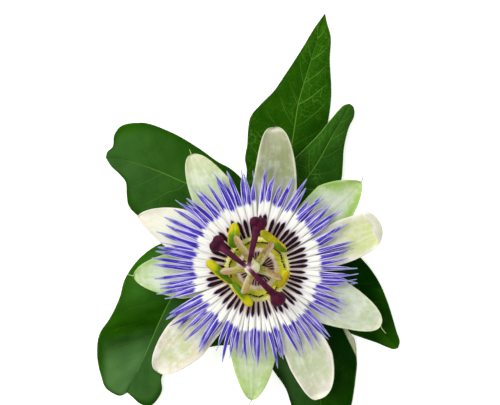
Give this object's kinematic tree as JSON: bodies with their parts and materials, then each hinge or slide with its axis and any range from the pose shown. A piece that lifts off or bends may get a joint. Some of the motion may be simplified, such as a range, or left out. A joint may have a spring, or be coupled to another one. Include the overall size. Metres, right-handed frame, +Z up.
{
  "type": "passion flower",
  "caption": "Open blue passion flower with a ring of banded filaments, stamens and styles, lying face up on its own lobed leaves.",
  "frame": {"origin": "middle of the underside of the bounding box, on the surface the flower lies on", "axes": "+Z up out of the open flower's face, square to the surface; +Y along the longest way, towards the tip of the longest leaf lobe; +X to the right of it"},
  "size_m": [0.0996, 0.1406, 0.0302],
  "materials": {
    "stem": "satin",
    "bract": "matte",
    "cup": "satin",
    "sepal": "matte",
    "petal": "matte",
    "corona": "matte",
    "corona_dark": "satin",
    "column": "satin",
    "anther": "matte",
    "ovary": "satin",
    "style": "satin",
    "stigma": "satin",
    "leaf": "gloss"
  },
  "bodies": {
    "root": {"vine_stem": "stem", "peduncle": "stem", "bract_1": "bract", "bract_2": "bract", "bract_3": "bract", "calyx_cup": "cup", "sepal_1": "sepal", "sepal_2": "sepal", "sepal_3": "sepal", "sepal_4": "sepal", "sepal_5": "sepal", "petal_1": "petal", "petal_2": "petal", "petal_3": "petal", "petal_4": "petal", "petal_5": "petal", "corona_outer_filaments": "corona", "corona_inner_filaments": "corona", "short_corona": "corona_dark", "operculum": "corona_dark", "androgynophore": "column", "stamen_filament_1": "column", "stamen_filament_2": "column", "stamen_filament_3": "column", "stamen_filament_4": "column", "stamen_filament_5": "column", "anther_1": "anther", "anther_2": "anther", "anther_3": "anther", "anther_4": "anther", "anther_5": "anther", "ovary": "ovary", "style_1": "style", "style_2": "style", "style_3": "style", "stigma_1": "stigma", "stigma_2": "stigma", "stigma_3": "stigma", "leaf_1": "leaf", "leaf_2": "leaf", "leaf_3": "leaf"}
  },
  "joints": []
}
